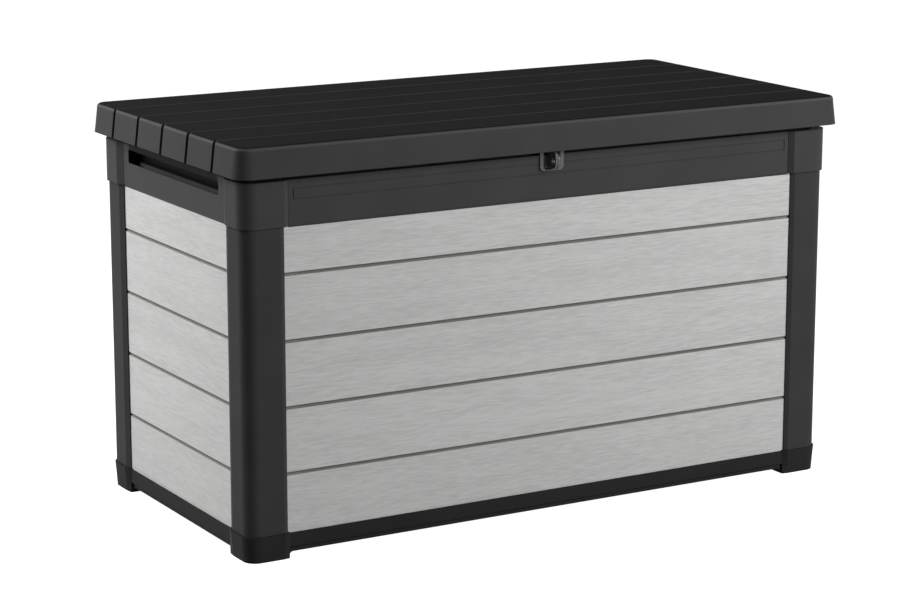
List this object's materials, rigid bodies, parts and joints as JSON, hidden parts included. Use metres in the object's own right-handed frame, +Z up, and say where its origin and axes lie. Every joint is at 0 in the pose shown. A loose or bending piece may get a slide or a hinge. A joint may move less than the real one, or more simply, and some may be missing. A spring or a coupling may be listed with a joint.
{
  "type": "cushion storage box",
  "caption": "Lidded resin storage box with plank-look panels, corner posts, feet, rear-hinged lid on gas struts, side hand slots and a padlock eye.",
  "frame": {"origin": "on the ground under the middle of the box", "axes": "+X along the box's length to the right seen from the front, +Y from front to rear, +Z up"},
  "size_m": [1.456, 0.735, 0.8455],
  "materials": {
    "frame_plastic": "satin injection-moulded resin, near black, fine texture",
    "lid_plastic": "satin injection-moulded resin, near black, fine wood-like texture",
    "plank_plastic": "light grey resin with fine brushed wood grain along the planks",
    "lock_plastic": "dark grey moulded resin",
    "fitting_plastic": "black nylon",
    "bright_steel": "zinc plated and ground steel",
    "galvanised_steel": "galvanised steel tube",
    "black_steel": "black painted steel"
  },
  "bodies": {
    "box": {"base_tray": "frame_plastic", "corner_post_front_left": "frame_plastic", "corner_post_front_right": "frame_plastic", "corner_post_rear_left": "frame_plastic", "corner_post_rear_right": "frame_plastic", "frame_screws": "bright_steel", "front_panel": "plank_plastic", "front_rail": "frame_plastic", "hinge_leaf_body_left": "frame_plastic", "hinge_leaf_body_middle": "frame_plastic", "hinge_leaf_body_right": "frame_plastic", "hinge_pin_left": "bright_steel", "hinge_pin_middle": "bright_steel", "hinge_pin_right": "bright_steel", "hinge_screws_body": "bright_steel", "left_panel": "plank_plastic", "padlock_keeper": "lock_plastic", "rear_panel": "plank_plastic", "rear_rail": "frame_plastic", "right_panel": "plank_plastic", "side_frame_left": "frame_plastic", "side_frame_right": "frame_plastic", "strut_bracket_lower_left": "black_steel", "strut_bracket_lower_right": "black_steel", "strut_screws_lower": "bright_steel"},
    "lid": {"hinge_leaf_lid_left": "frame_plastic", "hinge_leaf_lid_middle": "frame_plastic", "hinge_leaf_lid_right": "frame_plastic", "hinge_screws_lid": "bright_steel", "lid_lock_tab": "frame_plastic", "lid_shell": "lid_plastic", "lid_tube_front": "galvanised_steel", "lid_tube_rear": "galvanised_steel", "lock_tab_screws": "bright_steel", "strut_bracket_upper_left": "black_steel", "strut_bracket_upper_right": "black_steel", "strut_screws_upper": "bright_steel"},
    "cylinder_left": {"strut_cylinder_left": "black_steel", "strut_gland_left": "fitting_plastic", "strut_eye_lower_left": "fitting_plastic"},
    "rod_left": {"strut_rod_left": "bright_steel", "strut_eye_upper_left": "fitting_plastic"},
    "cylinder_right": {"strut_cylinder_right": "black_steel", "strut_gland_right": "fitting_plastic", "strut_eye_lower_right": "fitting_plastic"},
    "rod_right": {"strut_rod_right": "bright_steel", "strut_eye_upper_right": "fitting_plastic"}
  },
  "joints": [
    {"name": "lid_hinge", "type": "hinge", "parent": "box", "child": "lid", "pos_m": [0, 0.354, 0.7855], "axis": [-1, 0, 0], "range_deg": [0, 82]},
    {"name": "cylinder_pivot_left", "type": "hinge", "parent": "box", "child": "cylinder_left", "pos_m": [-0.655, 0.2752, 0.54298], "axis": [-1, 0, 0], "range_deg": [0, 41]},
    {"name": "rod_pivot_left", "type": "hinge", "parent": "lid", "child": "rod_left", "pos_m": [-0.655, 0.099, 0.7855], "axis": [-1, 0, 0], "range_deg": [-41, 0]},
    {"name": "cylinder_pivot_right", "type": "hinge", "parent": "box", "child": "cylinder_right", "pos_m": [0.655, 0.2752, 0.54298], "axis": [-1, 0, 0], "range_deg": [0, 41]},
    {"name": "rod_pivot_right", "type": "hinge", "parent": "lid", "child": "rod_right", "pos_m": [0.655, 0.099, 0.7855], "axis": [-1, 0, 0], "range_deg": [-41, 0]}
  ],
  "couplings": [
    {"joint": "cylinder_pivot_left", "follows": "lid_hinge", "ratio": 0.5},
    {"joint": "rod_pivot_left", "follows": "lid_hinge", "ratio": -0.5},
    {"joint": "cylinder_pivot_right", "follows": "lid_hinge", "ratio": 0.5},
    {"joint": "rod_pivot_right", "follows": "lid_hinge", "ratio": -0.5}
  ]
}
